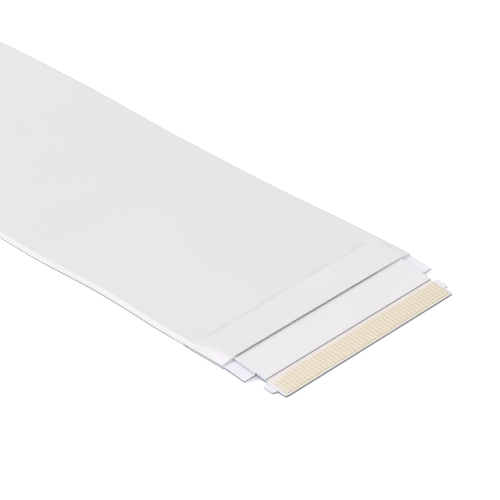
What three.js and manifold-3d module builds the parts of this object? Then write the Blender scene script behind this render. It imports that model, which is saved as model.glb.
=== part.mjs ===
// A shielded flat flex cable that lies on a flat surface, with a notched, gold contact tip at each end.
// Millimetres. X runs along the cable, with the first tip at +X, Y runs across it and Z is up.
// The origin is on the surface, under the middle of the cable.
// Places along the cable are given as a reach: the distance from the nearest tip's front edge.

import * as THREE from "three";
import { mergeVertices } from "three/addons/utils/BufferGeometryUtils.js";
import Module from "manifold-3d";

const wasm = await Module();
wasm.setup();

// The cable and its conductors
const CABLE_LENGTH = 203.2; // tip to tip
const CONDUCTOR_COUNT = 50;
const CONDUCTOR_PITCH = 0.5;
const CONDUCTOR_WIDTH = 0.3;
const CONDUCTOR_THICKNESS = 0.05;
const CONDUCTOR_SETBACK = 0.25; // bare film in front of the contacts

const ADHESIVE = 0.02; // the space that the adhesive takes between two layers

// The insulating films
const FILM_THICKNESS = 0.06;
const FILM_EDGE = 0.5; // film beyond the outer conductors' centre lines
const CONTACT_REACH = 3.05; // where the upper film starts

// The stiffeners under the tips
const STIFFENER_THICKNESS = 0.15;
const STIFFENER_REACH = 12.6;
const TIP_CORNER = 0.35; // rounding of the tip's front corners
const EAR_FRONT_REACH = 1.2;
const EAR_BACK_REACH = 2.75;
const EAR_WIDTH = 0.65; // the ears stand out this far beyond the film
const EAR_FRONT_CORNER = 0.45;
const EAR_BACK_CORNER = 0.35;
const NECK_INSET = 0.15; // the neck behind the ears is cut this far into the films
const TAB_REACH = 4.4; // where the wide tab starts

// The shield: a foil and a cover film above the core, and the same two below it
const FOIL_THICKNESS = 0.04;
const COVER_THICKNESS = 0.12;
const COVER_REACH = 7.5; // where the shield starts
const COVER_MARGIN = 1.5; // shield beyond the film, on each side
const BOND_WIDTH = 0.4; // the outer stretch of that margin, where the two covers are bonded flat
const EDGE_CLEARANCE = 0.1; // between the film's edge and the fold of the upper foil over it
const STEP_LENGTH = 1; // where the lower shield climbs behind the stiffener

const FILM_HALF_WIDTH = ((CONDUCTOR_COUNT - 1) * CONDUCTOR_PITCH) / 2 + FILM_EDGE;
const COVER_HALF_WIDTH = FILM_HALF_WIDTH + COVER_MARGIN;
const CONDUCTOR_BOTTOM = FILM_THICKNESS + ADHESIVE;
const CONDUCTOR_TOP = CONDUCTOR_BOTTOM + CONDUCTOR_THICKNESS;
const UPPER_FILM_BOTTOM = CONDUCTOR_TOP + ADHESIVE;
const CORE_THICKNESS = UPPER_FILM_BOTTOM + FILM_THICKNESS;
const STIFFENER_LAYER = ADHESIVE + STIFFENER_THICKNESS;
const SHIELD_LAYER = 2 * ADHESIVE + FOIL_THICKNESS + COVER_THICKNESS;
const COVER_DISTANCE = 2 * ADHESIVE + FOIL_THICKNESS; // from the core to the upper cover film
const SHEET_COLUMNS = 8; // a wide sheet is divided across, so that it can twist

// How the cable lies: at each reach, the height of the underside of its core over the places where
// the covered cable touches the surface, and how far a cover's +Y edge is above its middle.
// The first tip points slightly down from a low hump, and the cable twists a little behind it.
const TIP_LIFT = STIFFENER_LAYER - SHIELD_LAYER;
const FIRST_END = [
  [0, TIP_LIFT, 0],
  [COVER_REACH, STIFFENER_LAYER + 0.48, 0],
  [STIFFENER_REACH, STIFFENER_LAYER + 0.4, 0],
  [17, 0.48, 0],
  [22, 0.44, -0.17],
  [27, 0.36, -0.26],
  [32, 0.17, -0.16],
  [38, 0, 0],
  [44, 0, 0],
  [52, 0.21, 0],
  [62, 0.4, 0],
  [72, 0.3, 0],
  [82, 0, 0],
];
const SECOND_END = [
  [0, TIP_LIFT, 0],
  [COVER_REACH, STIFFENER_LAYER + 0.05, 0],
  [STIFFENER_REACH, STIFFENER_LAYER + 0.05, 0],
  [22, 0.1, 0],
  [30, 0, 0],
  [44, 0, 0],
  [56, 0.12, 0],
  [68, 0.12, 0],
  [80, 0, 0],
];
const LIE = [
  ...FIRST_END,
  ...SECOND_END.map(([reach, lift, twist]) => [CABLE_LENGTH - reach, lift, twist]).reverse(),
];

// The height of the underside of the core, at a distance from the first tip and a place across.
function coreLevel(distance, across) {
  const next = Math.max(1, LIE.findIndex(([place]) => place >= distance));
  const [from, fromLift, fromTwist] = LIE[next - 1];
  const [to, toLift, toTwist] = LIE[next];
  const share = (distance - from) / (to - from);
  const lift = THREE.MathUtils.lerp(fromLift, toLift, share);
  const twist = THREE.MathUtils.lerp(fromTwist, toTwist, share);
  return SHIELD_LAYER + lift + (twist * across) / COVER_HALF_WIDTH;
}

// The height of the top of the lower foil, which passes under the stiffeners.
function lowerFoilLevel(distance, across) {
  const reach = Math.min(distance, CABLE_LENGTH - distance);
  const behind = THREE.MathUtils.clamp((reach - STIFFENER_REACH) / STEP_LENGTH, 0, 1);
  return coreLevel(distance, across) - ADHESIVE - STIFFENER_LAYER * (1 - behind);
}

// The places where a layer is measured out: its ends, and each bend of the cable between them.
function stations(start, end, extra = []) {
  const inside = [...LIE.map(([place]) => place), ...extra].filter((d) => d > start && d < end);
  return [start, ...inside.sort((a, b) => a - b), end];
}

// Carries a cross-section through the stations. The section is a closed list of [y, z] points,
// counter-clockwise as seen from +X, and levelAt gives the height of its zero line.
function sweep(section, places, levelAt) {
  const count = section.length;
  const positions = [];
  for (const distance of places) {
    for (const [y, z] of section) {
      positions.push(CABLE_LENGTH / 2 - distance, y, z + levelAt(distance, y));
    }
  }
  const index = [];
  for (let ring = 0; ring < places.length - 1; ring += 1) {
    for (let corner = 0; corner < count; corner += 1) {
      const a = ring * count + corner;
      const b = ring * count + ((corner + 1) % count);
      index.push(a, a + count, b + count, a, b + count, b);
    }
  }
  const outline = section.map(([y, z]) => new THREE.Vector2(y, z));
  const last = (places.length - 1) * count;
  for (const [a, b, c] of THREE.ShapeUtils.triangulateShape(outline, [])) {
    index.push(a, b, c, last + a, last + c, last + b);
  }
  const geometry = new THREE.BufferGeometry();
  geometry.setAttribute("position", new THREE.Float32BufferAttribute(positions, 3));
  geometry.setIndex(index);
  return geometry;
}

// A row of points across the cable at one height, from left to right.
function row(left, right, height, columns) {
  const points = [];
  for (let column = 0; column <= columns; column += 1) {
    points.push([left + ((right - left) * column) / columns, height]);
  }
  return points;
}

// A flat cross-section between two heights.
function strip(halfWidth, bottom, top, columns, middle = 0) {
  const under = row(middle - halfWidth, middle + halfWidth, bottom, columns);
  const over = row(middle - halfWidth, middle + halfWidth, top, columns);
  return [...under, ...over.reverse()];
}

// The cross-section of a layer that passes over the core and comes down to its bonded margins.
function drape(bottom, thickness) {
  const fold = FILM_HALF_WIDTH + EDGE_CLEARANCE;
  const bond = COVER_HALF_WIDTH - BOND_WIDTH;
  const under = [
    ...row(-COVER_HALF_WIDTH, -bond, bottom, 1),
    ...row(-fold, fold, bottom + CORE_THICKNESS, SHEET_COLUMNS),
    ...row(bond, COVER_HALF_WIDTH, bottom, 1),
  ];
  const over = under.map(([y, z]) => [y, z + thickness]).reverse();
  return [...under, ...over];
}

function toSolid(geometry) {
  const bare = geometry.clone();
  bare.deleteAttribute("normal");
  bare.deleteAttribute("uv");
  const merged = mergeVertices(bare);
  return new wasm.Manifold(
    new wasm.Mesh({
      numProp: 3,
      vertProperties: merged.attributes.position.array,
      triVerts: new Uint32Array(merged.index.array),
    }),
  );
}

function fromSolid(solid) {
  const mesh = solid.getMesh();
  const geometry = new THREE.BufferGeometry();
  geometry.setAttribute("position", new THREE.BufferAttribute(mesh.vertProperties, 3));
  geometry.setIndex(new THREE.BufferAttribute(mesh.triVerts, 1));
  return geometry;
}

// The waste that the die takes off one side of a tip: what lies outside the rounded front corner,
// the ear and the neck, as far back as the tab. end and side are 1 or -1.
function dieWaste(end, side) {
  const outside = COVER_HALF_WIDTH + 1;
  const ahead = -1;
  const ear = FILM_HALF_WIDTH + EAR_WIDTH;
  const neck = FILM_HALF_WIDTH - NECK_INSET;
  const at = (reach, across) => [end * (CABLE_LENGTH / 2 - reach), side * across];
  const shape = new THREE.Shape();
  shape.moveTo(...at(ahead, FILM_HALF_WIDTH - TIP_CORNER));
  shape.lineTo(...at(0, FILM_HALF_WIDTH - TIP_CORNER));
  shape.quadraticCurveTo(...at(0, FILM_HALF_WIDTH), ...at(TIP_CORNER, FILM_HALF_WIDTH));
  shape.lineTo(...at(EAR_FRONT_REACH, FILM_HALF_WIDTH));
  shape.lineTo(...at(EAR_FRONT_REACH, ear - EAR_FRONT_CORNER));
  shape.quadraticCurveTo(...at(EAR_FRONT_REACH, ear), ...at(EAR_FRONT_REACH + EAR_FRONT_CORNER, ear));
  shape.lineTo(...at(EAR_BACK_REACH - EAR_BACK_CORNER, ear));
  shape.quadraticCurveTo(...at(EAR_BACK_REACH, ear), ...at(EAR_BACK_REACH, ear - EAR_BACK_CORNER));
  shape.lineTo(...at(EAR_BACK_REACH, neck));
  shape.lineTo(...at(TAB_REACH, neck));
  shape.lineTo(...at(TAB_REACH, outside));
  shape.lineTo(...at(ahead, outside));
  const geometry = new THREE.ExtrudeGeometry(shape, { depth: 6, bevelEnabled: false, curveSegments: 4 });
  geometry.translate(0, 0, -2);
  return toSolid(geometry);
}

// Cuts the notches and rounds the corners of a layer, at the tips that it reaches.
function dieCut(geometry, ends) {
  let solid = toSolid(geometry);
  for (const end of ends) {
    for (const side of [1, -1]) {
      solid = solid.subtract(dieWaste(end, side));
    }
  }
  return fromSolid(solid);
}

const stiffenerBlue = new THREE.MeshStandardMaterial({ color: 0xe2ebf6, roughness: 0.35 });
const filmWhite = new THREE.MeshStandardMaterial({ color: 0xeceaf0, roughness: 0.4 });
const contactGold = new THREE.MeshStandardMaterial({ color: 0xe8d3a4, roughness: 0.3, metalness: 1 });
const foilSilver = new THREE.MeshStandardMaterial({ color: 0xb9bcc0, roughness: 0.35, metalness: 1 });
const coverGrey = new THREE.MeshStandardMaterial({ color: 0xe3e4e4, roughness: 0.45 });

function named(name, geometry, material) {
  geometry.computeVertexNormals();
  const mesh = new THREE.Mesh(geometry, material);
  mesh.name = name;
  return mesh;
}

function stiffener(name, end) {
  const section = strip(COVER_HALF_WIDTH, -STIFFENER_LAYER, -ADHESIVE, 1);
  const places =
    end === 1 ? stations(0, STIFFENER_REACH) : stations(CABLE_LENGTH - STIFFENER_REACH, CABLE_LENGTH);
  return named(name, dieCut(sweep(section, places, coreLevel), [end]), stiffenerBlue);
}

function lowerFilm() {
  const section = strip(FILM_HALF_WIDTH, 0, FILM_THICKNESS, SHEET_COLUMNS);
  const sheet = sweep(section, stations(0, CABLE_LENGTH), coreLevel);
  return named("lower_insulating_film", dieCut(sheet, [1, -1]), filmWhite);
}

function upperFilm() {
  const section = strip(FILM_HALF_WIDTH, UPPER_FILM_BOTTOM, CORE_THICKNESS, SHEET_COLUMNS);
  const places = stations(CONTACT_REACH, CABLE_LENGTH - CONTACT_REACH);
  const sheet = sweep(section, places, coreLevel);
  return named("upper_insulating_film", dieCut(sheet, [1, -1]), filmWhite);
}

function conductor(number) {
  const middle = (number - (CONDUCTOR_COUNT + 1) / 2) * CONDUCTOR_PITCH;
  const section = strip(CONDUCTOR_WIDTH / 2, CONDUCTOR_BOTTOM, CONDUCTOR_TOP, 1, middle);
  const places = stations(CONDUCTOR_SETBACK, CABLE_LENGTH - CONDUCTOR_SETBACK);
  const name = "conductor_" + String(number).padStart(2, "0");
  return named(name, sweep(section, places, coreLevel), contactGold);
}

function upperShield(name, height, thickness, material) {
  const places = stations(COVER_REACH, CABLE_LENGTH - COVER_REACH);
  return named(name, sweep(drape(height, thickness), places, coreLevel), material);
}

function lowerShield(name, depth, thickness, material) {
  const section = strip(COVER_HALF_WIDTH, -depth - thickness, -depth, SHEET_COLUMNS);
  const climb = STIFFENER_REACH + STEP_LENGTH;
  const places = stations(COVER_REACH, CABLE_LENGTH - COVER_REACH, [climb, CABLE_LENGTH - climb]);
  return named(name, sweep(section, places, lowerFoilLevel), material);
}

const core = new THREE.Group();
core.add(lowerFilm(), upperFilm());
for (let number = 1; number <= CONDUCTOR_COUNT; number += 1) {
  core.add(conductor(number));
}

const shield = new THREE.Group();
shield.add(upperShield("upper_shield_foil", ADHESIVE, FOIL_THICKNESS, foilSilver));
shield.add(upperShield("upper_cover_film", COVER_DISTANCE, COVER_THICKNESS, coverGrey));
shield.add(lowerShield("lower_shield_foil", 0, FOIL_THICKNESS, foilSilver));
shield.add(lowerShield("lower_cover_film", FOIL_THICKNESS + ADHESIVE, COVER_THICKNESS, coverGrey));

const cable = new THREE.Group();
cable.add(core, shield, stiffener("front_stiffener", 1), stiffener("back_stiffener", -1));

export default cable;
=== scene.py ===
"""Dresses a shielded flat flex cable: its smooth cover films and foils, the finish of its films,
stiffeners and contacts, and a plain stage with the camera."""

import math

import bpy
from bpy.props import FloatProperty, FloatVectorProperty, IntProperty, PointerProperty
from mathutils import Matrix, Vector


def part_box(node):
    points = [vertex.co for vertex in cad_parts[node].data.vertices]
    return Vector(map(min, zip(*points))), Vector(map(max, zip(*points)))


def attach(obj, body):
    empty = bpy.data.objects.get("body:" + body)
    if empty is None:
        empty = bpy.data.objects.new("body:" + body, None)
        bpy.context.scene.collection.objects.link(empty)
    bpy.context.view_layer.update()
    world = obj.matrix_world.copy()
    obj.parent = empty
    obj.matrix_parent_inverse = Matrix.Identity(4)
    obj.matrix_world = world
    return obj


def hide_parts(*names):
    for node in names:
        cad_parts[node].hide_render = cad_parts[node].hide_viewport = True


bl_info = {
    "name": "Shielded Flat Flex Cable",
    "version": (1, 0, 0),
    "blender": (4, 5, 0),
    "location": "View3D > Sidebar > Flex Cable",
    "description": "Covers, foils, film, stiffener and contact finishes of a flat flex cable",
    "category": "Add Mesh",
}

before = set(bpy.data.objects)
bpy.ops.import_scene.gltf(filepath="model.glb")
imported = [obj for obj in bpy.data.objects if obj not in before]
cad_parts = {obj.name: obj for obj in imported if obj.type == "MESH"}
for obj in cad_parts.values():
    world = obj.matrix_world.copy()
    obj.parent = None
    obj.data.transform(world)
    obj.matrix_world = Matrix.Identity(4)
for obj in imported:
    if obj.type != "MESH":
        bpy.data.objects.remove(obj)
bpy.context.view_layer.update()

MM = 0.001

# Places read from the frame
TIP_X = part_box("lower_insulating_film")[1].x
FILM_HALF_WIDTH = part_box("lower_insulating_film")[1].y
CONTACT_REACH = TIP_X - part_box("upper_insulating_film")[1].x
COVER_REACH = TIP_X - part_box("upper_cover_film")[1].x
COVER_HALF_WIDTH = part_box("upper_cover_film")[1].y
STIFFENER_REACH = TIP_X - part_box("front_stiffener")[0].x

# The layers' thicknesses, as the solids have them
ADHESIVE = 0.02 * MM
FILM_THICKNESS = 0.06 * MM
CONDUCTOR_THICKNESS = 0.05 * MM
STIFFENER_THICKNESS = 0.15 * MM
FOIL_THICKNESS = 0.04 * MM
COVER_THICKNESS = 0.12 * MM
STEP_LENGTH = 1.0 * MM
CORE_THICKNESS = 2 * FILM_THICKNESS + CONDUCTOR_THICKNESS + 2 * ADHESIVE
CONDUCTOR_COUNT = 50
CONDUCTOR_PITCH = 0.5 * MM
CONDUCTOR_WIDTH = 0.3 * MM
CONDUCTOR_SETBACK = 0.25 * MM
SEAL_CLEARANCE = 0.003 * MM  # around the adhesive between two contacts
SEAL_OVERLAP = 0.6 * MM  # how far that adhesive runs under the upper film
BOND_WIDTH = 0.4 * MM
BOND_BLEND = 0.1 * MM  # over which the cover comes down to the bond
FOIL_INSET = BOND_WIDTH + 0.1 * MM
TOUCH_CLEARANCE = 0.006 * MM  # left between the cover and what it is bonded to
COVER_DISTANCE = 2 * ADHESIVE + FOIL_THICKNESS
STIFFENER_CLEAR = FOIL_THICKNESS + ADHESIVE
STIFFENER_LAYER = ADHESIVE + STIFFENER_THICKNESS
SHIELD_LAYER = 2 * ADHESIVE + FOIL_THICKNESS + COVER_THICKNESS

# How the cable lies, as the solids do: the reach from the nearest tip, the lift of the core over
# the places where the covered cable touches the surface, and the twist at the +Y edge
TIP_LIFT = STIFFENER_LAYER - SHIELD_LAYER
FIRST_END = [
    (0.0, TIP_LIFT, 0.0),
    (COVER_REACH, STIFFENER_LAYER + 0.48 * MM, 0.0),
    (STIFFENER_REACH, STIFFENER_LAYER + 0.4 * MM, 0.0),
    (17 * MM, 0.48 * MM, 0.0),
    (22 * MM, 0.44 * MM, -0.17 * MM),
    (27 * MM, 0.36 * MM, -0.26 * MM),
    (32 * MM, 0.17 * MM, -0.16 * MM),
    (38 * MM, 0.0, 0.0),
    (44 * MM, 0.0, 0.0),
    (52 * MM, 0.21 * MM, 0.0),
    (62 * MM, 0.4 * MM, 0.0),
    (72 * MM, 0.3 * MM, 0.0),
    (82 * MM, 0.0, 0.0),
]
SECOND_END = [
    (0.0, TIP_LIFT, 0.0),
    (COVER_REACH, STIFFENER_LAYER + 0.05 * MM, 0.0),
    (STIFFENER_REACH, STIFFENER_LAYER + 0.05 * MM, 0.0),
    (22 * MM, 0.1 * MM, 0.0),
    (30 * MM, 0.0, 0.0),
    (44 * MM, 0.0, 0.0),
    (56 * MM, 0.12 * MM, 0.0),
    (68 * MM, 0.12 * MM, 0.0),
    (80 * MM, 0.0, 0.0),
]
LIE = FIRST_END + [(2 * TIP_X - reach, lift, twist) for reach, lift, twist in reversed(SECOND_END)]


class FlexCableSettings(bpy.types.PropertyGroup):
    """Sizes and colours of the cable's visible layers."""

    cover_color: FloatVectorProperty(
        name="Cover", description="Colour of the cover films", subtype="COLOR",
        default=(0.80, 0.80, 0.798), min=0, max=1)
    cover_tint: FloatVectorProperty(
        name="Cover tint", description="Cooler colour of the cover near the first tip",
        subtype="COLOR", default=(0.85, 0.835, 0.86), min=0, max=1)
    film_color: FloatVectorProperty(
        name="Film", description="Colour of the insulating films", subtype="COLOR",
        default=(0.87, 0.85, 0.89), min=0, max=1)
    stiffener_color: FloatVectorProperty(
        name="Stiffener", description="Colour of the stiffeners' faces", subtype="COLOR",
        default=(0.92, 0.89, 0.98), min=0, max=1)
    edge_color: FloatVectorProperty(
        name="Stiffener edge", description="Colour of the stiffeners' cut edges",
        subtype="COLOR", default=(0.11, 0.14, 0.23), min=0, max=1)
    contact_color: FloatVectorProperty(
        name="Contacts", description="Colour of the plated contacts", subtype="COLOR",
        default=(0.62, 0.54, 0.41), min=0, max=1)
    lip_lift: FloatProperty(
        name="Lip lift", description="How far the cover's front edge bows up where it gapes",
        default=0.032 * MM, min=0, max=MM, unit="LENGTH")
    lip_gap: FloatProperty(
        name="Lip gap", description="How much the cover's front edge thins where it gapes",
        default=0.085 * MM, min=0, max=0.1 * MM, unit="LENGTH")
    crease_depth: FloatProperty(
        name="Crease depth", description="Depth of the crease behind the stiffener",
        default=0.03 * MM, min=0, max=0.2 * MM, unit="LENGTH")
    rows: IntProperty(
        name="Rows", description="Divisions of a cover film along the cable",
        default=420, min=40, max=800)
    columns: IntProperty(
        name="Columns", description="Divisions of a cover film across the cable",
        default=72, min=16, max=160)


# Node maths

class Signal:
    """A value in a material, on which Python's operators add Math nodes."""

    def __init__(self, nodes, socket):
        self.nodes = nodes
        self.socket = socket

    def _math(self, operation, first, second=None):
        values = {0: first}
        if second is not None:
            values[1] = second
        return self.nodes.node("ShaderNodeMath", values, operation=operation)

    def __add__(self, other):
        return self._math("ADD", self, other)

    __radd__ = __add__

    def __sub__(self, other):
        return self._math("SUBTRACT", self, other)

    def __rsub__(self, other):
        return self._math("SUBTRACT", other, self)

    def __mul__(self, other):
        return self._math("MULTIPLY", self, other)

    __rmul__ = __mul__

    def __abs__(self):
        return self._math("ABSOLUTE", self)

    def larger(self, other):
        """The larger one of two values."""
        return self._math("MAXIMUM", self, other)

    def above(self, low, high):
        """0 below low, 1 above high, and smooth between them."""
        values = {"Value": self, "From Min": low, "From Max": high}
        return self.nodes.node("ShaderNodeMapRange", values, interpolation_type="SMOOTHSTEP")

    def below(self, low, high):
        """1 below low, 0 above high, and smooth between them."""
        return 1 - self.above(low, high)


class Nodes:
    """Adds nodes to a node tree."""

    def __init__(self, tree):
        self.tree = tree

    def node(self, kind, values=None, output=0, **settings):
        """Adds a node with its settings, then the values or links of its sockets. Returns one
        output, or a list of them all where output is None."""
        made = self.tree.nodes.new(kind)
        for name, value in settings.items():
            setattr(made, name, value)
        for key, value in (values or {}).items():
            self.feed(made.inputs[key], value)
        if output is None:
            return [Signal(self, socket) for socket in made.outputs]
        return Signal(self, made.outputs[output])

    def feed(self, socket, value):
        """Links a signal to a socket, or sets the socket's value."""
        if isinstance(value, Signal):
            self.tree.links.new(value.socket, socket)
        elif socket.type == "RGBA" and len(value) == 3:
            socket.default_value = (*value, 1)
        else:
            socket.default_value = value


class Finish(Nodes):
    """A material with a Principled shader, built by adding nodes."""

    def __init__(self, name):
        self.material = bpy.data.materials.new(name)
        self.material.use_nodes = True
        super().__init__(self.material.node_tree)
        self.shader = self.tree.nodes["Principled BSDF"]

    def place(self):
        """The object's own coordinates, in metres."""
        return self.node("ShaderNodeTexCoord", output="Object")

    def axes(self, vector):
        """The three parts of a vector."""
        return self.node("ShaderNodeSeparateXYZ", {0: vector}, output=None)

    def noise(self, size, detail=2.0, stretch=(1, 1, 1), roughness=0.5):
        """Noise from 0 to 1 whose features are about size metres across."""
        scale = tuple(part / size for part in stretch)
        mapped = self.node("ShaderNodeMapping", {"Vector": self.place(), "Scale": scale})
        values = {"Vector": mapped, "Scale": 1.0, "Detail": detail, "Roughness": roughness}
        return self.node("ShaderNodeTexNoise", values)

    def mix(self, share, first, second):
        """Blends two colours."""
        return self.node(
            "ShaderNodeMix", {0: share, 6: first, 7: second}, output=2, data_type="RGBA")

    def bump(self, height, distance, strength=1.0, over=None):
        """A normal bent by a height from 0 to 1 of the given distance."""
        values = {"Height": height, "Distance": distance, "Strength": strength}
        if over is not None:
            values["Normal"] = over
        return self.node("ShaderNodeBump", values)

    def set(self, **values):
        """Sets the shader's sockets, named in lower case with underscores."""
        for name, value in values.items():
            socket = "IOR" if name == "ior" else name.replace("_", " ").title()
            self.feed(self.shader.inputs[socket], value)
        return self.material


def plain(name):
    """The plain material of that name that the solids come with."""
    return bpy.data.materials[name]


def along_across(finish):
    """The places along and across the cable, in metres."""
    return finish.axes(finish.place())[:2]


def reach_from_tip(finish):
    """The distance from the nearest tip's front edge, in metres."""
    return TIP_X - abs(along_across(finish)[0])


def facing(finish):
    """The parts of the direction that the surface faces."""
    return finish.axes(finish.node("ShaderNodeTexCoord", output="Normal"))


def sheared_across(finish):
    """1 on edges that were cut across the cable, and 0 on those along it."""
    return abs(facing(finish)[0]).above(0.4, 0.8)


def cut_edge(finish):
    """1 on the layer's cut edges, and 0 on its faces."""
    return abs(facing(finish)[2]).below(0.35, 0.75)


# Finishes

# Tones of the cover's face: its clouds, the painted shade of the crease behind the stiffener,
# and the painted sheen of the lighter streaks and the painted light of the corner
COVER_CLOUD = (0.785, 0.785, 0.784)
# painted shade along the crease behind the stiffener
COVER_CREASE_SHADE = (0.68, 0.69, 0.68)
# painted sheen: the cover's lighter streaks
COVER_SHEEN_STREAK = (0.90, 0.87, 0.90)
# painted light on the cover's near front corner
COVER_CORNER_LIT = (0.94, 0.90, 0.95)

# Tones of cut edges, each pair for the dark and the light side of a grain
# painted light on the cover's sides and at its front margins, painted shade on its gaping front
# ends
COVER_SIDES_LIT = (0.88, 0.88, 0.88), (0.95, 0.95, 0.95)
COVER_ENDS_SHADE = (0.38, 0.38, 0.38), (0.48, 0.48, 0.48)
COVER_END_BONDED = (0.85, 0.84, 0.86)
COVER_END_MARGIN_LIT = (0.98, 0.96, 0.98)
BOND_DARK_GRAIN = (0.22, 0.22, 0.22), (0.31, 0.31, 0.31)
# painted light: the lower cover's edge near the tips
BOND_LIT_NEAR_TIPS = (0.52, 0.52, 0.52)
FILM_SIDE = (0.66, 0.67, 0.74)
# painted light: the films' sides at the narrow neck
FILM_SIDE_NARROW_LIT = (0.80, 0.85, 0.93)
# the films' ends across the cable: darker as cut edges are, and painted darker still as shade
FILM_END = (0.30, 0.28, 0.30)
STIFFENER_EAR = (0.36, 0.43, 0.50)
# painted light: the stiffeners' sides under the cover
STIFFENER_COVERED_LIT = (0.50, 0.51, 0.54)
STIFFENER_END = (0.20, 0.21, 0.20)
STIFFENER_FAR_END = (0.38, 0.40, 0.42)
# painted light: the contacts' sides, a light cream and not metal, to lift their shade
CONTACT_SIDE_LIT = (0.95, 0.88, 0.74)

# Tones of the other faces
FOIL_LINES = (0.50, 0.51, 0.52), (0.62, 0.63, 0.64)
FILM_CLOUD = (0.89, 0.88, 0.89)
STIFFENER_CLOUD = (0.93, 0.90, 0.97)
CONTACT_WORN = (0.67, 0.59, 0.45)
CONTACT_HAZED = (0.88, 0.82, 0.81)
BED_CREAM = (0.89, 0.81, 0.70), (0.92, 0.85, 0.74)
BED_HAZED = (0.90, 0.85, 0.84)
FILM_GAPS = (0.96, 0.89, 0.74)  # the lower film between the contacts
FILM_EDGE_SHADOW = (0.62, 0.57, 0.61)  # painted shadow along the upper film's front edge


def grey_cover(settings):
    """Satin polyester cover, cooler over the stiffener, with a painted sheen in a patch and in
    streaks, painted shade along the crease and painted light at its near front corner.
    """
    finish = Finish("grey_cover")
    along, across = along_across(finish)
    cloud = finish.noise(22 * MM, detail=1.5)
    over_stiffener = (TIP_X - along).below(STIFFENER_REACH - MM, STIFFENER_REACH + MM)
    # painted sheen: a lighter, cooler patch of the cover where its satin face catches the light
    sheen_along = abs(along - (TIP_X - 23 * MM)).below(3 * MM, 15 * MM)
    sheen_across = abs(across + 7.5 * MM).below(2 * MM, 9 * MM)
    share = over_stiffener * 0.7 + sheen_along * sheen_across * 0.8
    color = finish.mix(share, tuple(settings.cover_color), tuple(settings.cover_tint))
    shaded = finish.mix(cloud.above(0.35, 0.7) * 0.4, color, COVER_CLOUD)
    wander = (finish.noise(5 * MM) - 0.5) * MM
    crease_x = TIP_X - STIFFENER_REACH + 0.45 * MM
    # painted shade: a darker line along the crease behind the stiffener
    crease_shade = abs(along - crease_x + wander).below(0.05 * MM, 0.45 * MM)
    crease_shade = crease_shade * abs(across).below(11.5 * MM, 13.4 * MM)
    crease_shade = crease_shade * (finish.noise(3 * MM).above(0.3, 0.6) * 0.6 + 0.4)
    shaded = finish.mix(crease_shade * 0.6, shaded, COVER_CREASE_SHADE)
    # painted sheen: faint lighter streaks between the crease and the cover's front
    sheen_streak = finish.noise(1.6 * MM, detail=2, stretch=(1, 0.2, 1)).above(0.5, 0.68)
    sheen_streak = sheen_streak * abs(along - (TIP_X - 10 * MM)).below(1 * MM, 2.6 * MM)
    sheen_streak = sheen_streak * abs(across - 6 * MM).below(3 * MM, 7 * MM)
    shaded = finish.mix(sheen_streak * 0.5, shaded, COVER_SHEEN_STREAK)
    # painted light: the near front corner, where the margin slopes towards the light, turns a
    # light cool white
    corner = (TIP_X - COVER_REACH - along).below(0.5 * MM, 5 * MM)
    corner = corner * (across + COVER_HALF_WIDTH).below(0.3 * MM, 1.6 * MM)
    shaded = finish.mix(corner, shaded, COVER_CORNER_LIT)
    grain = finish.noise(0.25 * MM, detail=3)
    drift = finish.noise(6 * MM, detail=2, stretch=(0.35, 1.4, 1))
    bent = finish.bump(drift, 0.02 * MM, over=finish.bump(grain, 0.0015 * MM))
    return finish.set(
        base_color=shaded, roughness=grain * 0.06 + 0.36, normal=bent, ior=1.5)


def cover_edge():
    """The cover's cut edge: painted bright along the sides as lit, and painted dark across the
    cable as the shade of its gaping front, lighter where bonded down and painted light at the
    margins.
    """
    finish = Finish("cover_edge")
    grain = finish.noise(0.15 * MM)
    # painted light: the sides along the cable are painted bright, as lit
    lit_side = finish.mix(grain, *COVER_SIDES_LIT)
    across = along_across(finish)[1]
    # painted shade: the front ends are painted dark where they gape, less so where bonded down,
    # and painted near white at the margins
    margin = abs(across).above(FILM_HALF_WIDTH - 0.6 * MM, FILM_HALF_WIDTH)
    bonded = across.above(7.5 * MM, 10 * MM) * 0.7
    shaded_end = finish.mix(grain, *COVER_ENDS_SHADE)
    shaded_end = finish.mix(bonded, shaded_end, COVER_END_BONDED)
    shaded_end = finish.mix(margin, shaded_end, COVER_END_MARGIN_LIT)
    color = finish.mix(sheared_across(finish), lit_side, shaded_end)
    return finish.set(base_color=color, roughness=0.6)


def bond_edge():
    """The lower cover's cut edge: dark grey in a fine grain, and painted lighter near the tips to
    lift the shade there.
    """
    finish = Finish("bond_edge")
    grain = finish.noise(0.3 * MM, detail=3)
    dark_grain = finish.mix(grain, *BOND_DARK_GRAIN)
    # painted light: lighter near the tips, to lift the shade that falls on the edge there
    lit_near_tips = reach_from_tip(finish).below(13 * MM, 17 * MM)
    return finish.set(base_color=finish.mix(lit_near_tips, dark_grain, BOND_LIT_NEAR_TIPS), roughness=0.7)


def shield_foil():
    """Rolled aluminium foil, with its rolling lines along the cable."""
    finish = Finish("shield_foil")
    lines = finish.noise(0.4 * MM, detail=3, stretch=(0.05, 1, 1))
    return finish.set(
        base_color=finish.mix(lines, *FOIL_LINES), metallic=1.0, roughness=lines * 0.2 + 0.3)


def contact_haze(finish):
    """1 where adhesive hazes the contacts: in front of the upper film, more so at one corner."""
    across = along_across(finish)[1]
    corner = across.below(-12.6 * MM, -9.5 * MM)
    edge = CONTACT_REACH - 0.45 * MM - corner * 0.6 * MM
    behind = (reach_from_tip(finish) - edge).above(-0.3 * MM, 0.3 * MM)
    beside = across.below(-12.6 * MM, -11.9 * MM) * 0.7
    return behind + beside * (1 - behind)


def film_edge_shadow_line(finish):
    """1 on the thin line just in front of the upper film, where its shadow is painted."""
    return reach_from_tip(finish).above(CONTACT_REACH - 0.14 * MM, CONTACT_REACH - 0.06 * MM)


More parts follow.
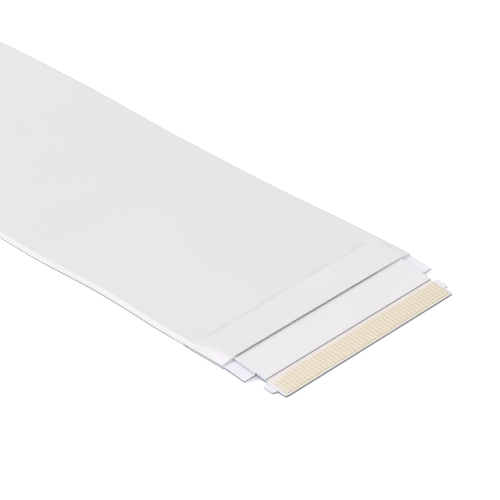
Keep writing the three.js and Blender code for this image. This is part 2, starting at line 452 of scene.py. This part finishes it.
def among_contacts(finish):
    """1 on the band that the contacts cover, and 0 on the film's bare margins beside it."""
    across = along_across(finish)[1]
    return abs(across).below(FILM_HALF_WIDTH - 0.45 * MM, FILM_HALF_WIDTH - 0.25 * MM)


def white_film(settings, name, gap_color=None):
    """Satin polyester film, darker on its cut edges; its front ends painted darker still as shade,
    and its sides at the narrow neck painted light blue as lit.
    """
    finish = Finish(name)
    cloud = finish.noise(5 * MM, detail=2)
    face = finish.mix(cloud, tuple(settings.film_color), FILM_CLOUD)
    reach = reach_from_tip(finish)
    if gap_color is not None:
        bare = reach.below(CONTACT_REACH - 0.75 * MM, CONTACT_REACH - 0.25 * MM)
        inside = reach.above(0.02 * MM, 0.12 * MM) * among_contacts(finish)
        face = finish.mix(bare * inside, face, gap_color)
    grain = finish.noise(0.2 * MM, detail=3)
    # painted light: the film's sides at the narrow neck are painted a light blue, as lit
    narrow = reach.below(4.4 * MM, 5 * MM)
    side = finish.mix(narrow, FILM_SIDE, FILM_SIDE_NARROW_LIT)
    # the ends across the cable: darker as cut edges, with painted shade darkening them further
    edge = finish.mix(sheared_across(finish), side, FILM_END)
    return finish.set(
        base_color=finish.mix(cut_edge(finish), face, edge),
        roughness=grain * 0.08 + 0.34, normal=finish.bump(grain, 0.001 * MM), ior=1.5)


def blue_stiffener(settings):
    """Pale blue-white stiffener with deeper blue cut edges, its sides painted a lighter grey under
    the cover to lift the shade between the covers.
    """
    finish = Finish("blue_stiffener")
    cloud = finish.noise(4 * MM, detail=2)
    face = finish.mix(cloud, tuple(settings.stiffener_color), STIFFENER_CLOUD)
    grain = finish.noise(0.3 * MM, detail=2)
    across = along_across(finish)[1]
    ear = abs(across).above(FILM_HALF_WIDTH + 0.1 * MM, FILM_HALF_WIDTH + 0.3 * MM)
    reach = reach_from_tip(finish)
    ear = ear * reach.below(2.8 * MM, 3 * MM)
    side = finish.mix(ear, tuple(settings.edge_color), STIFFENER_EAR)
    # painted light: the side under the cover is painted a lighter grey to lift the shade between
    # the covers
    covered = reach.above(COVER_REACH - 0.6 * MM, COVER_REACH + 0.2 * MM)
    side = finish.mix(covered, side, STIFFENER_COVERED_LIT)
    far_tab = across.above(0, MM) * reach.above(3 * MM, 3.5 * MM)
    front = finish.mix(far_tab, STIFFENER_END, STIFFENER_FAR_END)
    edge = finish.mix(sheared_across(finish), side, front)
    return finish.set(
        base_color=finish.mix(cut_edge(finish), face, edge),
        roughness=grain * 0.06 + 0.24, normal=finish.bump(grain, 0.001 * MM), ior=1.55)


def gold_contact(settings):
    """Pale gold plating, hazed by adhesive just in front of the upper film, with a painted shadow
    line along the film's front edge and sides painted a light cream to lift their shade.
    """
    finish = Finish("gold_contact")
    haze = contact_haze(finish)
    wear = finish.noise(0.5 * MM, detail=3, stretch=(0.5, 2, 1))
    plate = finish.mix(wear, tuple(settings.contact_color), CONTACT_WORN)
    scratch = finish.noise(0.12 * MM, detail=2, stretch=(0.12, 1, 1))
    # painted light: the sides take a light cream, not metal, to lift the shade between the
    # contacts
    side = cut_edge(finish)
    top = finish.mix(haze, plate, CONTACT_HAZED)
    # painted shadow along the upper film's front edge
    top = finish.mix(film_edge_shadow_line(finish), top, FILM_EDGE_SHADOW)
    return finish.set(
        base_color=finish.mix(side, top, CONTACT_SIDE_LIT),
        metallic=(1 - haze * 0.9) * (1 - side), roughness=scratch * 0.08 + 0.34,
        normal=finish.bump(scratch, 0.0004 * MM))


def contact_bed():
    """Cured adhesive between the contacts: cream, whiter towards the upper film, with a painted
    shadow line along the film's front edge.
    """
    finish = Finish("contact_bed")
    haze = contact_haze(finish)
    cloud = finish.noise(1.5 * MM, detail=2)
    cream = finish.mix(cloud, *BED_CREAM)
    color = finish.mix(haze, cream, BED_HAZED)
    # painted shadow along the upper film's front edge
    color = finish.mix(film_edge_shadow_line(finish), color, FILM_EDGE_SHADOW)
    return finish.set(base_color=color, roughness=cloud * 0.1 + 0.4)


# Shapes

def smooth_lie(distance, column):
    """A smooth value of the lie between its points, which never overshoots them."""
    places = [point[0] for point in LIE]
    values = [point[column] for point in LIE]
    right = next((i for i, place in enumerate(places) if place >= distance), len(places) - 1)
    right = max(1, right)
    left = right - 1

    def slope(i):
        return (values[i + 1] - values[i]) / (places[i + 1] - places[i])

    def tangent(i):
        if i in (0, len(places) - 1):
            return slope(min(i, len(places) - 2))
        before, after = slope(i - 1), slope(i)
        return 0.0 if before * after <= 0 else 2 * before * after / (before + after)

    span = places[right] - places[left]
    t = (distance - places[left]) / span
    return (
        values[left] * (1 + 2 * t) * (1 - t) ** 2
        + values[right] * (3 - 2 * t) * t * t
        + span * tangent(left) * t * (1 - t) ** 2
        - span * tangent(right) * t * t * (1 - t)
    )


def smooth_step(value, low, high):
    """0 below low, 1 above high, and smooth between them, for a plain number."""
    t = min(1.0, max(0.0, (value - low) / (high - low)))
    return t * t * (3 - 2 * t)


def core_level(distance, across):
    """The height of the core's underside."""
    twist = smooth_lie(distance, 2) * across / COVER_HALF_WIDTH
    return SHIELD_LAYER + smooth_lie(distance, 1) + twist


def behind_stiffener(distance):
    """0 over a stiffener, and 1 once the lower shield has climbed behind it."""
    reach = min(distance, 2 * TIP_X - distance)
    return smooth_step(reach, STIFFENER_REACH, STIFFENER_REACH + STEP_LENGTH)


FRONT_BOND = 0.3 * MM  # how far the cover's front edge is bonded, where it doesn't gape
LIP_FADE = 1.2 * MM  # over which the gaping edge comes down behind its front
CREASE_WIDTH = 0.35 * MM
EDGE_CROWDING = 0.75  # how closely a sheet's rows and columns crowd at its edges
SMOOTH_ANGLE = math.radians(40)
MARGIN_END = COVER_HALF_WIDTH - 0.08 * MM  # where an upper layer has come down to the lower one
MARGIN_SHIFT = 1.2 * MM  # how much farther out it starts to come down behind the cover's front
ROUTE_STEPS = 36

# Where the cover's front edge gapes: the place across, and the share of the gap
GAPE = [
    (-12.4 * MM, 0.0), (-11.0 * MM, 0.35), (-10.2 * MM, 0.75), (-8.6 * MM, 0.55),
    (-6.5 * MM, 1.0), (-5.2 * MM, 0.6), (-4.0 * MM, 1.0), (-1.5 * MM, 0.6), (2.5 * MM, 0.5),
    (4.8 * MM, 1.0), (6.0 * MM, 0.45), (9.0 * MM, 0.25), (12.4 * MM, 0.0)]


def gape(across):
    """0 where the cover's front edge is bonded down, and 1 where it gapes most."""
    if not GAPE[0][0] < across < GAPE[-1][0]:
        return 0.0
    for (left, low), (right, high) in zip(GAPE, GAPE[1:]):
        if across <= right:
            return low + (high - low) * smooth_step(across, left, right)
    return 0.0


def lip(distance, across, lift):
    """How far the cover's front edge stands off the film where it gapes."""
    return lift * gape(across) * math.exp(-(distance - COVER_REACH) / LIP_FADE)


def cover_underside(distance, across, settings):
    """How far the upper cover's underside is below its plain thickness: down to the film and the
    other cover where it is bonded, and up where it gapes."""
    reach = min(distance, 2 * TIP_X - distance)
    front = 1 - smooth_step(reach, COVER_REACH, COVER_REACH + FRONT_BOND)
    first = 1.0 if distance < TIP_X else 0.0
    opened = gape(across) * first
    bond = COVER_HALF_WIDTH - BOND_WIDTH
    bonded = smooth_step(abs(across), bond - BOND_BLEND, bond)
    beside_film = abs(across) > FILM_HALF_WIDTH + 0.02 * MM
    below = -ADHESIVE if beside_film else CORE_THICKNESS
    to_layer = over_core(distance, across) + COVER_DISTANCE - below - TOUCH_CLEARANCE
    to_margin = COVER_DISTANCE + ADHESIVE + STIFFENER_CLEAR * behind_stiffener(distance)
    down = front * to_layer * (1 - opened)
    down = max(down, (to_margin - TOUCH_CLEARANCE) * bonded)
    return down - front * opened * settings.lip_gap


def crease(distance, depth):
    """A shallow groove across the cover where a stiffener ends below it."""
    total = 0.0
    for place in (STIFFENER_REACH, 2 * TIP_X - STIFFENER_REACH):
        total -= depth * math.exp(-(((distance - place) / CREASE_WIDTH) ** 2))
    return total


def ripple(distance, across):
    """Slow, slight waves of the cover, which die out at the cut edges."""
    calm = 1 - smooth_step(abs(across), 10 * MM, 13 * MM)
    wave = math.sin(distance / (6.1 * MM) + across / (9 * MM))
    cross = math.sin(distance / (13 * MM) - across / (4.7 * MM) + 1.3)
    ends = smooth_step(min(distance, 2 * TIP_X - distance), STIFFENER_REACH, 20 * MM)
    return calm * ends * (0.010 * wave + 0.012 * cross) * MM


def over_core(distance, across):
    """The rise of an upper layer: the core's thickness, falling to nothing at the margins. It
    falls just beside the films at the cover's front, and farther out behind it."""
    reach = min(distance, 2 * TIP_X - distance)
    shift = MARGIN_SHIFT * smooth_step(reach, COVER_REACH + MM, COVER_REACH + 5 * MM)
    return CORE_THICKNESS * (1 - smooth_step(abs(across), FILM_HALF_WIDTH + shift, MARGIN_END))


def spread(share):
    """Moves evenly spaced shares from 0 to 1 closer together at both ends."""
    return share - EDGE_CROWDING * math.sin(2 * math.pi * share) / (2 * math.pi)


def select_only(obj):
    """Deselects everything else and makes the object active."""
    bpy.ops.object.select_all(action="DESELECT")
    obj.select_set(True)
    bpy.context.view_layer.objects.active = obj


def laid_sheet(name, rows, columns, top_at, thickness, materials, inset=0.0, under_at=None):
    """A grid laid over the cable by its top's height, then given its thickness downwards."""
    bpy.ops.object.select_all(action="DESELECT")
    bpy.ops.mesh.primitive_grid_add(x_subdivisions=rows, y_subdivisions=columns, size=2)
    sheet = bpy.context.active_object
    sheet.name = name
    sheet.data.name = name
    start = COVER_REACH + inset
    half_width = COVER_HALF_WIDTH - inset
    for vertex in sheet.data.vertices:
        along = start + 2 * (TIP_X - start) * spread((1 - vertex.co.x) / 2)
        across = half_width * (2 * spread((1 + vertex.co.y) / 2) - 1)
        vertex.co = (TIP_X - along, across, top_at(along, across))
    for material in materials:
        sheet.data.materials.append(material)
    solid = sheet.modifiers.new("Thickness", "SOLIDIFY")
    solid.thickness = thickness
    solid.offset = -1
    solid.material_offset_rim = 1 if len(materials) > 1 else 0
    select_only(sheet)
    over = len(sheet.data.vertices)
    bpy.ops.object.modifier_apply(modifier="Thickness")
    if under_at is not None:
        for vertex in sheet.data.vertices[over:]:
            vertex.co.z -= under_at(TIP_X - vertex.co.x, vertex.co.y)
    bpy.ops.object.shade_smooth_by_angle(angle=SMOOTH_ANGLE)
    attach(sheet, "root")
    return sheet


def route():
    """The middle line of the cover, as a list of points."""
    length = 2 * (TIP_X - COVER_REACH)
    places = [COVER_REACH + length * i / ROUTE_STEPS for i in range(ROUTE_STEPS + 1)]
    middle = CORE_THICKNESS / 2
    return [Vector((TIP_X - place, 0, core_level(place, 0) + middle)) for place in places]


class FLEX_OT_upper_shield(bpy.types.Operator):
    """Lays the upper cover film and its foil over the core"""

    bl_idname = "flex.upper_shield"
    bl_label = "Upper shield"

    def execute(self, context):
        settings = context.scene.flex_cable
        cover = laid_sheet(
            "upper_cover", settings.rows, settings.columns,
            lambda s, y: (
                core_level(s, y) + over_core(s, y) + SHIELD_LAYER
                + lip(s, y, settings.lip_lift) + crease(s, settings.crease_depth) + ripple(s, y)),
            COVER_THICKNESS, [grey_cover(settings), cover_edge()],
            under_at=lambda s, y: cover_underside(s, y, settings))
        foil = laid_sheet(
            "upper_foil", settings.rows // 2, settings.columns // 2,
            lambda s, y: core_level(s, y) + over_core(s, y) + ADHESIVE + FOIL_THICKNESS,
            FOIL_THICKNESS, [shield_foil()], inset=FOIL_INSET)
        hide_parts("upper_cover_film")
        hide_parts("upper_shield_foil")
        points = route()
        return {"FINISHED"}


class FLEX_OT_lower_shield(bpy.types.Operator):
    """Lays the lower cover film and its foil, with plain faces, under the core and stiffeners"""

    bl_idname = "flex.lower_shield"
    bl_label = "Lower shield"

    def execute(self, context):
        settings = context.scene.flex_cable

        def foil_top(s, y):
            step = STIFFENER_LAYER * (1 - behind_stiffener(s))
            return core_level(s, y) - ADHESIVE - step

        foil = laid_sheet(
            "lower_foil", settings.rows // 2, settings.columns // 2, foil_top,
            FOIL_THICKNESS, [plain("shield_foil")], inset=FOIL_INSET)
        cover = laid_sheet(
            "lower_cover", settings.rows // 2, settings.columns // 2,
            lambda s, y: foil_top(s, y) - FOIL_THICKNESS - ADHESIVE,
            COVER_THICKNESS, [plain("grey_cover"), bond_edge()])
        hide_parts("lower_shield_foil")
        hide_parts("lower_cover_film")
        return {"FINISHED"}


def finish_node(name, material):
    """Gives a carried-over solid its finish."""
    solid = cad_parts[name]
    solid.data.materials.clear()
    solid.data.materials.append(material)


class FLEX_OT_films(bpy.types.Operator):
    """Finishes the insulating films"""

    bl_idname = "flex.films"
    bl_label = "Insulating films"

    def execute(self, context):
        settings = context.scene.flex_cable
        finish_node("upper_insulating_film", white_film(settings, "upper_film"))
        finish_node("lower_insulating_film", white_film(settings, "lower_film", FILM_GAPS))
        return {"FINISHED"}


def tip_level(reach):
    """The height of the core's underside in front of the first cover."""
    rise = (LIE[1][1] - LIE[0][1]) / COVER_REACH
    return SHIELD_LAYER + LIE[0][1] + rise * reach


class FLEX_OT_film_seal(bpy.types.Operator):
    """Fills the spaces between the contacts with adhesive, as far as under the upper film"""

    bl_idname = "flex.film_seal"
    bl_label = "Film seal"

    def execute(self, context):
        front, back = CONDUCTOR_SETBACK, CONTACT_REACH + SEAL_OVERLAP
        middle = (front + back) / 2
        rise = tip_level(back) - tip_level(front)
        layer = ADHESIVE + CONDUCTOR_THICKNESS
        bpy.ops.object.select_all(action="DESELECT")
        bpy.ops.mesh.primitive_cube_add(
            size=1,
            location=(
                TIP_X - middle, (1 - CONDUCTOR_COUNT / 2) * CONDUCTOR_PITCH,
                tip_level(middle) + FILM_THICKNESS + layer / 2),
            rotation=(0, math.atan2(rise, back - front), 0),
            scale=(
                math.hypot(back - front, rise),
                CONDUCTOR_PITCH - CONDUCTOR_WIDTH - 2 * SEAL_CLEARANCE,
                layer - 2 * SEAL_CLEARANCE))
        seal = context.active_object
        seal.name = "film_seal"
        seal.data.name = "film_seal"
        bpy.ops.object.transform_apply(location=True, rotation=True, scale=True)
        rounding = seal.modifiers.new("Rounding", "BEVEL")
        rounding.width = 2 * SEAL_CLEARANCE
        rounding.segments = 2
        line = seal.modifiers.new("Row", "ARRAY")
        line.count = CONDUCTOR_COUNT - 1
        line.use_relative_offset = False
        line.use_constant_offset = True
        line.constant_offset_displace = (0, CONDUCTOR_PITCH, 0)
        select_only(seal)
        bpy.ops.object.modifier_apply(modifier="Rounding")
        bpy.ops.object.modifier_apply(modifier="Row")
        seal.data.materials.append(contact_bed())
        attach(seal, "root")
        return {"FINISHED"}


class FLEX_OT_stiffeners(bpy.types.Operator):
    """Finishes the stiffeners under both tips"""

    bl_idname = "flex.stiffeners"
    bl_label = "Stiffeners"

    def execute(self, context):
        material = blue_stiffener(context.scene.flex_cable)
        for name in ("front_stiffener", "back_stiffener"):
            finish_node(name, material)
        return {"FINISHED"}


class FLEX_OT_conductors(bpy.types.Operator):
    """Finishes the conductors and their plated contacts"""

    bl_idname = "flex.conductors"
    bl_label = "Conductors"

    def execute(self, context):
        material = gold_contact(context.scene.flex_cable)
        for name in sorted(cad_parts):
            if name.startswith("conductor_"):
                finish_node(name, material)
        return {"FINISHED"}


# Stage: the photograph's camera, from a fit of the tip's corners and the cable's long edges

CAMERA_AZIMUTH = 45.22
CAMERA_ELEVATION = 33.86
CAMERA_ROLL = -0.33
CAMERA_DISTANCE = 253.3 * MM
CAMERA_AIM = Vector((TIP_X - 21.43 * MM, 3.54 * MM, 0))
CAMERA_LENS = 166.2

FLOOR_SIZE = 4
FLOOR_DROP = 0.02 * MM  # how far the floor is below the cable
FLOOR_TONE = (0.9, 0.9, 0.9)
FLOOR_GLOW = (0.45, 0.45, 0.45)  # what lifts the floor's look to white
WORLD_STRENGTH = 0.56


def camera_axes():
    """The camera's right, up and backward directions."""
    azimuth, elevation = math.radians(CAMERA_AZIMUTH), math.radians(CAMERA_ELEVATION)
    back = Vector((
        math.sin(azimuth) * math.cos(elevation),
        -math.cos(azimuth) * math.cos(elevation),
        math.sin(elevation)))
    right = Vector((math.cos(azimuth), math.sin(azimuth), 0))
    turn = Matrix.Rotation(math.radians(CAMERA_ROLL), 3, back)
    right = turn @ right
    return right, back.cross(right), back


def add_camera():
    """The camera of the photograph."""
    right, up, back = camera_axes()
    data = bpy.data.cameras.new("camera")
    data.lens = CAMERA_LENS
    data.sensor_width = 36
    data.clip_start = 0.01
    data.clip_end = 20
    camera = bpy.data.objects.new("camera", data)
    turned = Matrix((right, up, back)).transposed().to_4x4()
    camera.matrix_world = Matrix.Translation(CAMERA_AIM + back * CAMERA_DISTANCE) @ turned
    bpy.context.scene.collection.objects.link(camera)
    bpy.context.scene.camera = camera


def add_softbox(name, place, size, power):
    """A square area lamp at a place from the camera's aim, which it faces."""
    data = bpy.data.lights.new(name, "AREA")
    data.size = size
    data.energy = power
    lamp = bpy.data.objects.new(name, data)
    lamp.location = CAMERA_AIM + Vector(place)
    lamp.rotation_euler = (-Vector(place)).to_track_quat("-Z", "Y").to_euler()
    bpy.context.scene.collection.objects.link(lamp)


def shown_rays(nodes):
    """1 for rays that show the background: from the camera, in gloss and through clear things."""
    seen, gloss, clear = [
        nodes.node("ShaderNodeLightPath", output=name)
        for name in ("Is Camera Ray", "Is Glossy Ray", "Is Transmission Ray")]
    return seen.larger(gloss).larger(clear)


def light_world(strength):
    """An even white world that shows as white and lights more gently."""
    world = bpy.data.worlds.new("world")
    bpy.context.scene.world = world
    world.use_nodes = True
    world.node_tree.nodes.clear()
    nodes = Nodes(world.node_tree)
    light, shown = [
        nodes.node("ShaderNodeBackground", {"Color": (1, 1, 1), "Strength": level})
        for level in (strength, 1.0)]
    mixed = nodes.node("ShaderNodeMixShader", {0: shown_rays(nodes), 1: light, 2: shown})
    nodes.node("ShaderNodeOutputWorld", {"Surface": mixed}, output=None)


def pale_floor_material():
    """White paper that shows as white and keeps a soft shadow."""
    material = bpy.data.materials.new("pale_floor")
    material.use_nodes = True
    material.node_tree.nodes.clear()
    nodes = Nodes(material.node_tree)
    paper = nodes.node("ShaderNodeBsdfPrincipled", {"Base Color": FLOOR_TONE, "Roughness": 0.9})
    glow = nodes.node("ShaderNodeEmission", {"Color": FLOOR_GLOW, "Strength": shown_rays(nodes)})
    both = nodes.node("ShaderNodeAddShader", {0: paper, 1: glow})
    nodes.node("ShaderNodeOutputMaterial", {"Surface": both}, output=None)
    return material


class FLEX_OT_stage(bpy.types.Operator):
    """Adds the floor, the lamps and the camera"""

    bl_idname = "flex.stage"
    bl_label = "Stage"

    def execute(self, context):
        bpy.ops.object.select_all(action="DESELECT")
        bpy.ops.mesh.primitive_plane_add(size=FLOOR_SIZE, location=(0, 0, -FLOOR_DROP))
        floor = context.active_object
        floor.name = "floor"
        floor.data.materials.append(pale_floor_material())
        light_world(WORLD_STRENGTH)
        add_softbox("key", (-0.22, -0.42, 0.36), size=0.35, power=1.5)
        add_softbox("top", (-0.10, 0.10, 0.6), size=0.6, power=0.85)
        add_camera()
        context.scene.view_settings.view_transform = "Standard"
        return {"FINISHED"}


class FLEX_PT_panel(bpy.types.Panel):
    """Lists the cable's pieces and settings"""

    bl_idname = "FLEX_PT_panel"
    bl_label = "Flex Cable"
    bl_space_type = "VIEW_3D"
    bl_region_type = "UI"
    bl_category = "Flex Cable"

    def draw(self, context):
        settings = context.scene.flex_cable
        for name in settings.__annotations__:
            self.layout.prop(settings, name)
        for operator in OPERATORS:
            self.layout.operator(operator.bl_idname)


OPERATORS = (
    FLEX_OT_stage,
    FLEX_OT_upper_shield,
    FLEX_OT_lower_shield,
    FLEX_OT_films,
    FLEX_OT_film_seal,
    FLEX_OT_stiffeners,
    FLEX_OT_conductors,
)
CLASSES = (FlexCableSettings, *OPERATORS, FLEX_PT_panel)


def register():
    for cls in CLASSES:
        bpy.utils.register_class(cls)
    bpy.types.Scene.flex_cable = PointerProperty(type=FlexCableSettings)


def unregister():
    del bpy.types.Scene.flex_cable
    for cls in reversed(CLASSES):
        bpy.utils.unregister_class(cls)


def main():
    register()
    bpy.ops.flex.stage()
    bpy.ops.flex.upper_shield()
    bpy.ops.flex.lower_shield()
    bpy.ops.flex.films()
    bpy.ops.flex.film_seal()
    bpy.ops.flex.stiffeners()
    bpy.ops.flex.conductors()


if __name__ == "__main__":
    main()
